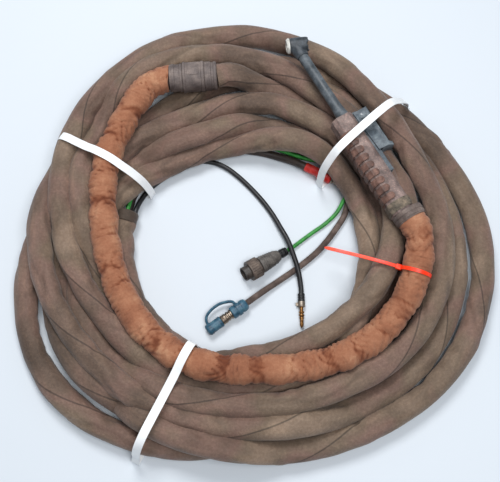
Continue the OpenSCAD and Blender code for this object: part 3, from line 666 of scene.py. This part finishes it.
# the tape lies over the handle's bevelled section in three turns that don't quite match
HALF_WIDE, CORNER_REACH, TAPE_AXIS_Y, TAPE_STEPS = 15, 24, 5, 48
tape_coils = []
for x0, x1, proud, lean in ((16.4, 22.5, 0.7, 0.5), (20.6, 27, 1.0, -0.6), (24.6, 29.4, 0.8, 0.7)):
    coil = bmesh.new()
    outline = []
    for q in range(TAPE_STEPS):
        t = 2 * pi * q / TAPE_STEPS
        y, z = HALF_WIDE * cos(t), HALF_WIDE * sin(t)
        flats = HALF_WIDE / max(abs(y), abs(z))
        bevels = CORNER_REACH / (abs(y) + abs(z))
        bumpy = proud + 0.25 * sin(5 * t + x0) + 0.15 * sin(11 * t + 2 * x0)
        k = min(flats, bevels) * (1 + bumpy / HALF_WIDE)
        outline.append(coil.verts.new(
            Vector((x0 + lean * sin(t), TAPE_AXIS_Y + y * k, z * k)) * MM))
    loop = [coil.edges.new((outline[i - 1], outline[i])) for i in range(TAPE_STEPS)]
    new = bmesh.ops.extrude_edge_only(coil, edges=loop)["geom"]
    bmesh.ops.translate(coil, vec=((x1 - x0) * MM, 0, 0),
                        verts=[g for g in new if isinstance(g, bmesh.types.BMVert)])
    bmesh.ops.recalc_face_normals(coil, faces=coil.faces)
    bmesh.ops.solidify(coil, geom=coil.faces, thickness=0.7 * MM)
    bmesh.ops.recalc_face_normals(coil, faces=coil.faces)
    bmesh.ops.transform(coil, matrix=TORCH, verts=coil.verts)
    tape_coils.append(coil)
dress(finish_mesh("tape_turns", joined(*tape_coils), 60), frayed_tape(), "tape", "tape_wrap")

collar_nylon = scuffed_plastic("collar_nylon", "#574b46", "#7b6c65", "#a09188", 0.6, 0.5, 16)
turned_piece("rear_collar_skin", TORCH, collar_nylon, "collar_plastic", "rear_collar", [
    (0, 12.2), (0, 19.4), (0.6, 20), (2, 20), (2.4, 20.7), (3, 21), (5.6, 21), (6.2, 20.4),
    (7.4, 20.4), (8, 21), (12.6, 21), (13.9, 20), (13.9, 14.5), (4, 14.5), (4, 12.2)])

# ------------------------------------------------------------------ switch
# A blue-grey nylon module clipped to the outer side of the handle: its base, a long lever with a
# lip for the finger, and behind the lever the microswitch that it presses.
switch_nylon = scuffed_plastic("blue_grey_nylon", "#485158", "#68727a", "#929b9f", 0.5, 0.35, 14)
dress(eased("switch_base_skin", "switch_base", 0.7), switch_nylon, "switch_plastic", "switch_base")


def block(size, ease, place, upright_only=False):
    """A small block with rounded edges, all of them or only its upright ones, as a bmesh."""
    bm = bmesh.new()
    bmesh.ops.create_cube(bm, size=1)
    bmesh.ops.scale(bm, vec=Vector(size) * MM, verts=bm.verts)
    edges = [e for e in bm.edges
             if not upright_only or abs(e.verts[0].co.z - e.verts[1].co.z) > MM]
    bmesh.ops.bevel(bm, geom=edges, offset=ease * MM, segments=3, profile=0.5, affect="EDGES",
                    material=-1)
    bmesh.ops.transform(bm, matrix=place, verts=bm.verts)
    return bm


lever = eased("trigger_skin", "trigger", 0.8)
# two moulded slots in the lever's upper cheek
SLOT_Z = 10
for x, y, length, turn in ((149, -19.5, 9, 70), (131, -19, 8, 85)):
    place = (TORCH @ Matrix.Translation(Vector((x, y, SLOT_Z)) * MM)
             @ Matrix.Rotation(radians(turn), 4, "Z"))
    tool = finish_mesh("slot_tool", block((length, 1.8, 3), 0.8, place, upright_only=True))
    cut = lever.modifiers.new("slot", "BOOLEAN")
    cut.object, cut.operation, cut.solver = tool, "DIFFERENCE", "EXACT"
    apply_modifiers(lever)
    bpy.data.objects.remove(tool)
dress(lever, switch_nylon, "switch_plastic", "trigger", body="trigger_lever")
recover("microswitch", scuffed_plastic("black_abs", "#15171a", "#23262a", "#383c42", 0.4, 0.2, 8))
recover("switch_plunger",
        scuffed_plastic("red_acetal", "#8c2a1e", "#b5402f", "#cf6a58", 0.35, 0.2, 6))

# ------------------------------------------------------------------ leads
# Where the jacket ends, a hem of folded cloth lets the leads out: a black rubber gas hose, a water
# hose in brown braid, a thicker power and water hose, and the green cable of the switch.
def braided_cover(name, dark, mid, pale, thread):
    """Textile braid over a hose: two sets of threads crossing at an angle, dusty brown, with
    painted shade between the threads, so that their crowns stand paler, like a little shine."""
    material, tree, shader, co = start_finish(name, 0.7)
    _, tones = clouded(tree, co, 14, [(0.3, dark), (0.5, mid), (0.7, pale)], detail=5.0,
                       roughness=0.6)
    turn = add(tree, "Mapping", Vector=(co[0], "UV"), Rotation=(0, 0, radians(45)))
    one, two = [add(tree, "TexWave", {"wave_type": "BANDS", "bands_direction": way}, Vector=turn,
                    Scale=0.314 / (thread * MM)) for way in "XY"]
    braid = add(tree, "Math", {"operation": "MAXIMUM"}, _0=(one, "Fac"), _1=(two, "Fac"))
    # painted shade: the braid is darkened in the gaps between its threads
    shade = add(tree, "ValToRGB", stops=[(0.3, "#6a6a6a"), (0.85, "#ffffff")], Fac=braid)
    mixed = add(tree, "Mix", DARKEN, _0=0.8,
                _6=tones, _7=shade)
    bump = add(tree, "Bump", Strength=0.7, Distance=0.5 * MM, Height=braid)
    feed(tree, shader, Base_Color=(mixed, 2), Normal=bump)
    return material


def lead(name, route, diameter, sides, material, slot, node):
    """One of the loose leads: a tube along its route, from the hem to the fitting on its end."""
    path = smooth_route(np.array(route) * MM, 4 * MM)
    obj = tube(name, path, diameter / 2 * MM, sides)
    dress(obj, material, slot, node)
    return obj


# the hem: the last of the jacket turned back on itself and stitched
CUFF = spot((-172, 31, 16.6), 77)
turned_piece("jacket_hem", CUFF, JACKET_CLOTH, "cuff_fabric", "jacket_cuff", [
    (0, 0.5), (0, 15.6), (1, 16.2), (5, 16.5), (6, 16.1), (7, 16.1), (8, 16.5), (14, 16.4),
    (15.6, 15.4), (16, 14), (15.8, 12.6), (12, 12.2), (12, 0.5)], corner=60)

# gas: a ferrule, an ear clamp and the brass nipple of a push-in coupling
recover("gas_ear_clamp",
        machined_metal("dulled_clamp_steel", "#6f655a", "#93877a", "#b5aa9c", 0.5, 4))
GAS = spot((69, -66, 5), -90)
gas_ferrule = turned_piece("gas_ferrule_skin", GAS, black_rubber, "black_plastic", "gas_ferrule", [
    (0, 3.65), (0, 4.5), (0.5, 4.8), (2.4, 4.8), (2.8, 4.4), (3.6, 4.4), (4, 4.8), (6, 4.8),
    (6.4, 4.4), (7.2, 4.4), (7.6, 4.8), (10.5, 4.8), (11, 4.4), (11, 3.65)], steps=48)
bronze = machined_metal("browned_brass_nipple", "#4f3620", "#8a6239", "#b98f5f", 0.4, 4)
gas_nipple = turned_piece("gas_nipple_skin", GAS, bronze, "brass", "gas_nipple", [
    (18, 0.1), (18, 2.4), (24, 2.4), (24.3, 3.5), (24.6, 3.7), (26.2, 3.7), (26.5, 3.5), (27, 2.3),
    (28, 2.3), (28.3, 3.5), (28.6, 3.7), (30.2, 3.7), (30.5, 3.5), (31, 2.4), (32.2, 3.1),
    (32.8, 3.2), (33.6, 3.2), (34.2, 2.9), (35, 2.5), (43, 2.5), (45, 1.7), (46, 1), (46, 0.1)],
    steps=48)
lead("gas_lead", [
    (-158.5, 44.5, 13), (-157, 51, 13), (-152, 66, 8), (-140, 84, 6), (-120, 101, 6), (-97, 115, 5),
    (-74, 126, 4), (-53, 125, 4), (-34, 117, 4), (-16, 103, 4), (2, 85, 4), (18, 66, 5),
    (31, 47, 6), (42, 26, 10), (52, 6, 13), (60, -17, 13), (65, -35, 12.5), (68, -51, 7),
    (69, -60, 5), (69, -66, 5)],
    7, 20, black_rubber, "black_hose", "gas_hose")

# water: a blue moulded sleeve, a ribbed metal nipple and the dust cap on its strap
BLUE = spot((-5, -80, 9.2), 216.3)
blue_nylon = scuffed_plastic("blue_moulded_nylon", "#1c455c", "#3c6c84", "#6a929f", 0.45, 0.3, 9)
blue_sleeve = turned_piece("blue_sleeve_skin", BLUE, blue_nylon, "blue_plastic", "blue_sleeve", [
    (0, 4.2), (0, 6.4), (1.2, 7.6), (3, 8), (4, 8.5), (8, 8.5), (8.6, 7.9), (10.6, 7.9), (11, 8.5),
    (15.4, 8.5), (15.9, 7.9), (17.6, 7.9), (18, 8.5), (23, 8.5), (24, 7.6), (24, 4)], steps=72)
grimy_metal = machined_metal("nickel_plated_brass", "#51473f", "#85786b", "#b5a898", 0.4, 5)
blue_nipple = turned_piece("blue_nipple_skin", BLUE, grimy_metal, "steel", "blue_nipple", [
    (8, 0.2), (8, 3.8), (24.1, 3.8), (24.1, 5.9), (24.6, 6.5), (26.2, 6.5), (26.6, 5.9), (27, 5.5),
    (28.4, 5.5), (28.8, 6.1), (29.4, 6.5), (30.8, 6.5), (31.2, 6), (31.6, 5.5), (32.8, 5.5),
    (33.2, 6.2), (33.8, 6.5), (36.6, 6.5), (37, 6.1), (37.4, 6.1), (37.8, 6.5), (40.2, 6.5),
    (40.8, 6), (40.9, 3.8), (49, 3.8), (50, 3), (50, 0.2)], steps=72)
cap_shell = turned([
    (41, 3.95), (41, 7.3), (41.6, 7.75), (43.6, 7.75), (44, 7.3), (57, 7.3), (57.4, 7.75),
    (60.5, 7.75), (62.6, 7.2), (63.8, 5.6), (64, 3), (64, 0.2), (53, 0.2), (53, 3.95)], BLUE, 72)
cap_loop = turned([(11, 8.7), (11, 9.15), (15, 9.15), (15, 8.7)], BLUE, 72)
# the strap between the ring and the cap, moulded flat and bent sideways in an arch
strap_line = smooth_route(np.array([
    (58, -6, 0), (57, -12, 0), (52, -17.5, 0), (42, -20.5, 0), (30, -20.5, 0), (20, -17, 0),
    (14, -13, 0), (13, -8.9, 0)]) * MM, 1.5 * MM)
STRAP_SIDES, STRAP_HALF_THICK, STRAP_HALF_WIDE = 24, 1.9, 3.4
turns_round = np.arange(STRAP_SIDES) * 2 * pi / STRAP_SIDES
oval = 1 / np.hypot(np.cos(turns_round) / STRAP_HALF_THICK, np.sin(turns_round) / STRAP_HALF_WIDE)
arch = tube("cap_arch", strap_line, oval * MM * np.ones((len(strap_line), 1)), STRAP_SIDES)
cap_strap = bmesh.new()
cap_strap.from_mesh(arch.data)
bmesh.ops.transform(cap_strap, matrix=BLUE, verts=cap_strap.verts)
bpy.data.objects.remove(arch)
blue_cap = finish_mesh("blue_dust_cap", joined(cap_shell, cap_loop, cap_strap))
dress(blue_cap, blue_nylon, "blue_plastic", "blue_cap", body="dust_cap")
water_braid = braided_cover("brown_textile_braid", "#463832", "#66554d", "#87756c", 1.3)
lead("water_lead", [
    (-178.5, 49, 14), (-177, 55.5, 14), (-173, 73, 10), (-163, 96, 7), (-138, 117, 6.5),
    (-111, 133, 6), (-84, 146, 5), (-41, 155, 5), (0, 154, 5), (38, 146, 5), (75, 132, 6),
    (105, 125, 6.5), (124, 112, 6.5), (136, 98, 6), (139, 80, 5), (136, 62, 5), (130, 44, 5),
    (120, 28, 5), (107, 10, 5), (90, -9, 4.5), (66, -29, 4.5), (42, -46, 4.5), (22, -60, 6.5),
    (10, -69, 9), (1, -75.6, 9.2), (-5, -80, 9.2)],
    8.4, 24, water_braid, "brown_braid", "water_hose")

# power and water: a red sleeve and a metal nipple, half under the coil
RED = spot((78, 116, 10.4), -27)
red_nylon = scuffed_plastic("red_moulded_nylon", "#a31d18", "#c9302a", "#e0564c", 0.4, 0.25, 9)
red_sleeve = turned_piece("red_sleeve_skin", RED, red_nylon, "red_plastic", "red_sleeve", [
    (0, 5.6), (0, 6), (1, 6.5), (18.5, 6.5), (20, 7.6), (21, 8.5), (25, 8.5), (25.6, 8), (27.6, 8),
    (28.2, 8.5), (32, 8.5), (32.6, 8), (34.6, 8), (35.2, 8.5), (39, 8.5), (40, 7.6), (40, 4),
    (8, 4), (8, 5.6)], steps=72)
red_nipple = turned_piece("red_nipple_skin", RED, grimy_metal, "steel", "red_nipple", [
    (10, 0.2), (10, 3.8), (40.1, 3.8), (40.1, 5.6), (40.6, 6), (43, 6), (43.6, 5.5), (44, 4.4),
    (46, 4.4), (46.2, 5.6), (46.7, 6), (49, 6), (49.6, 5.5), (50, 3.8), (57, 3.8), (58, 3),
    (58, 0.2)], steps=72)
lead("power_lead", [
    (-168, 47, 8.8), (-166.5, 53.5, 8.8), (-163, 71, 8), (-152, 90, 7.5), (-129, 108, 7.5),
    (-104, 123, 7), (-80, 135, 6), (-60, 141, 6), (-38, 144, 6), (-19, 144, 6), (0, 142, 6),
    (18, 139, 6), (36, 134, 6), (58, 126, 8.5), (72, 119, 10.4), (78, 116, 10.4)],
    11, 28, brown_rubber, "brown_braid", "power_hose")

# ------------------------------------------------------------------ control plug
# A six-pin circular plug of grey die-cast metal and nylon: a cable clamp, a ribbed backshell, the
# barrel with its pins and a knurled ring that turns freely to lock it.
PLUG = spot((50, -6, 6.6), 212, 9.5)
grey_nylon = scuffed_plastic("grimy_grey_nylon", "#4a403a", "#6b5d54", "#8b7c70", 0.55, 0.45, 9)
dark_nylon = scuffed_plastic("dark_plug_nylon", "#2b2622", "#453d37", "#61574f", 0.5, 0.35, 8)
shell_grey = scuffed_plastic("dusty_grey_backshell", "#4e4a47", "#6c6763", "#8d8781", 0.5, 0.4, 9)
clamp = turned_piece("plug_clamp_skin", PLUG, black_rubber, "grey_plastic", "plug_clamp", [
    (0, 2.8), (0, 5.2), (0.5, 5.7), (1.6, 5.7), (1.9, 5.2), (2.9, 5.2), (3.2, 6), (4.6, 6.3),
    (5, 5.5), (6, 5.5), (6.4, 6.3), (9.6, 6.3), (10, 5.7), (13, 5.7), (13, 2.5)], steps=48)
ribs = []
for k in range(6):
    x, r = 23.5 + 3 * k, 9.75 + 0.3 * k
    ribs += [(x, r), (x + 0.4, r + 0.45), (x + 1.6, r + 0.55), (x + 2, r + 0.1)]
backshell = turned_piece("plug_backshell_skin", PLUG, shell_grey, "grey_plastic",
                         "plug_backshell", [
    (13, 3), (13, 7), (13.6, 7.5), (15.5, 8), (18, 9), (19, 9.4), (22.5, 9.5), *ribs, (41.6, 11),
    (42, 11.6), (43.6, 11.6), (44, 11.2), (44, 8), (36, 8), (21, 3)], steps=72)
barrel = eased("plug_barrel_skin", "plug_barrel", 0.3, 2)
dress(barrel, dark_nylon, "black_plastic", "plug_barrel")
recover("plug_pins", machined_metal("gold_flashed_pins", "#8a6a35", "#c0a468", "#e2cf9e", 0.25, 3))
coupling = eased("plug_ring_skin", "plug_ring", 0.35, 2)
dress(coupling, grey_nylon, "grey_plastic", "plug_ring", body="coupling_ring")
lead("control_lead", [
    (-168, 47, 19.7), (-166.5, 53.5, 19.7), (-163, 71, 16), (-157, 93, 15), (-133, 113, 15),
    (-107, 129, 14), (-82, 142, 13), (-41, 149, 13), (0, 149, 13), (38, 141, 13), (75, 128, 13.5),
    (104, 120, 14.5), (122, 109, 14.5), (133, 96, 14), (136, 80, 13), (129, 64, 8), (119, 48, 4),
    (103, 33, 3), (85, 20, 3), (68, 7, 3.5), (60, 0.5, 4.8), (55, -2.9, 5.6), (50, -6, 6.6)],
    5.5, 20, green_pvc, "green_cable", "control_cable")

# ------------------------------------------------------------------ ties
# Three white straps of woven nylon hold the turns together, laid once round them and stuck down
# underneath. A narrow orange nylon tie holds the leather, its tail left long.
def strap(name, line, across, width, thickness):
    """A flat band along a closed line of points, standing thickness deep outside it."""
    bm = bmesh.new()
    ring = [bm.verts.new(Vector(p) - 0.5 * width * across) for p in line]
    edges = [bm.edges.new((ring[i - 1], ring[i])) for i in range(len(ring))]
    for _ in range(4):
        out = bmesh.ops.extrude_edge_only(bm, edges=edges)["geom"]
        made = [g for g in out if isinstance(g, bmesh.types.BMVert)]
        bmesh.ops.translate(bm, vec=0.25 * width * across, verts=made)
        edges = [g for g in out if isinstance(g, bmesh.types.BMEdge)]
    bmesh.ops.recalc_face_normals(bm, faces=bm.faces)
    bmesh.ops.solidify(bm, geom=bm.faces, thickness=-thickness)
    bmesh.ops.recalc_face_normals(bm, faces=bm.faces)
    return finish_mesh(name, bm, 50)


def woven_strap():
    """Polished white nylon webbing, a little grimy: fine cross ribs and a soft even shine."""
    material, tree, shader, co = start_finish("white_nylon_strap", 0.45)
    _, tones = clouded(tree, co, 26, [(0.3, "#dfe2e4"), (0.5, "#f0f2f3"), (0.7, "#fbfcfc")],
                       detail=4.0, roughness=0.5)
    grain = add(tree, "TexNoise", Vector=co, Scale=every(1.5), Detail=3.0)
    bump = add(tree, "Bump", Strength=0.2, Distance=0.3 * MM, Height=grain)
    feed(tree, shader, Base_Color=tones, Normal=bump)
    return material


white_nylon = woven_strap()
STRAP_WIDE, STRAP_THICK, BENCH_GAP = 11 * MM, 1.2 * MM, 1.5
# for each strap, its place on the clock in degrees and the (distance, height) of its loop
STRAPS = {
    "tie_left": (151, [
        (156, 1.6), (157, 14), (161, 30), (168, 45), (182, 59), (196, 66), (208, 73), (222, 75),
        (238, 73), (250, 68), (268, 65), (284, 63), (294, 55), (300, 40), (303, 20), (303, 1.6),
        (226, 1.6)]),
    "tie_bottom": (243, [
        (159, 1.6), (159, 40), (160, 60), (165, 70), (177, 74.5), (190, 73), (204, 66), (228, 64),
        (262, 63), (286, 61), (302, 52), (311, 36), (315, 16), (315, 1.6), (236, 1.6)]),
    "tie_handle": (43, [
        (133, 1.6), (133, 30), (136, 60), (148, 84), (160, 95), (180, 98.5), (215, 98.5),
        (240, 96.5), (256, 91), (266, 82), (277, 68), (290, 50), (300, 32), (303, 16), (303, 1.6),
        (218, 1.6)]),
}
for node, (clock, loop) in STRAPS.items():
    a = radians(clock)
    outward = Vector((cos(a), sin(a), 0))
    across = Vector((-sin(a), cos(a), 0))
    line = smooth_route([(r, z, 0) for r, z in loop + loop[:1]], 6)[:-1]
    line = [outward * r * MM + Vector((0, 0, max(z, BENCH_GAP) * MM)) for r, z, _ in line]
    dress(strap(node + "_strap", line, across, STRAP_WIDE, STRAP_THICK), white_nylon,
          "white_nylon", node)

orange_nylon = scuffed_plastic("orange_nylon_tie", "#f03a00", "#ff4600", "#ff641c", 0.4, 0.15, 30)
TIE_AT, TIE_AIM = Vector((212.2, -52.2, 66.9)), Vector((-11, -35, -6)).normalized()
level = Vector((0, 0, 1)).cross(TIE_AIM).normalized()
raised = TIE_AIM.cross(level)
BAND_RADIUS, BAND_WIDE, BAND_THICK = 19.6, 4.8 * MM, 1.0 * MM
around = [(TIE_AT + BAND_RADIUS * (cos(t) * level + sin(t) * raised)) * MM
          for t in np.linspace(0, 2 * pi, 64, endpoint=False)]
dress(strap("tie_orange_band", around, TIE_AIM, BAND_WIDE, BAND_THICK), orange_nylon,
      "orange_nylon", "tie_orange")
# the tail, drawn through the head and bowed a little under its own weight
tail_line = smooth_route(np.array([
    (196, -47.2, 68), (180, -41.8, 68), (150, -31.7, 63.5), (122, -22.3, 57), (98, -14, 50)])
    * MM, 3 * MM)
TAIL_SIDES, TAIL_HALF_WIDE, TAIL_HALF_THICK = 20, 2.4, 0.8
round_tail = np.arange(TAIL_SIDES) * 2 * pi / TAIL_SIDES
flat_oval = (np.abs(np.cos(round_tail) / TAIL_HALF_WIDE) ** 6
             + np.abs(np.sin(round_tail) / TAIL_HALF_THICK) ** 6) ** (-1 / 6) * MM
narrowing = np.clip(np.linspace(16, 0.35, len(tail_line)), 0, 1)[:, None]
tail = tube("tie_orange_tail", tail_line, flat_oval * narrowing, TAIL_SIDES)
dress(tail, orange_nylon, "orange_nylon", "tie_orange")
head_box = block((8, 7, 5), 0.9, spot((190.7, -45.6, 68), -18))
dress(finish_mesh("tie_orange_head", head_box), orange_nylon, "orange_nylon", "tie_orange")

# ------------------------------------------------------------------ stage
# The bench is a large sheet of pale card. A window behind it and a lamp over its near side, both
# wide and soft, light it, and the room's pale walls fill the shadows.
bench = bmesh.new()
bmesh.ops.create_grid(bench, x_segments=1, y_segments=1, size=4)
floor = finish_mesh("bench", bench)
card, _, card_shader, _ = start_finish("pale_card", 0.8)
card_shader.inputs["Base Color"].default_value = linear("#d2d9e0")
floor.data.materials.append(card)
world = bpy.data.worlds.new("room")
world.use_nodes = True
sky = world.node_tree.nodes["Background"].inputs
sky["Color"].default_value, sky["Strength"].default_value = linear("#e9f1fb"), 0.36
SCENE.world = world
for name, place, size, power in (("window", (-0.3, 0.9, 1.7), 0.8, 24),
                                 ("ceiling", (0.4, -0.5, 1.9), 0.9, 21)):
    light = bpy.data.lights.new(name, "AREA")
    light.shape, light.size, light.energy = "DISK", size, power
    lamp = bpy.data.objects.new(name, light)
    lamp.location = place
    lamp.rotation_mode = "QUATERNION"
    lamp.rotation_quaternion = (-Vector(place)).to_track_quat("-Z", "Y")
    SCENE.collection.objects.link(lamp)
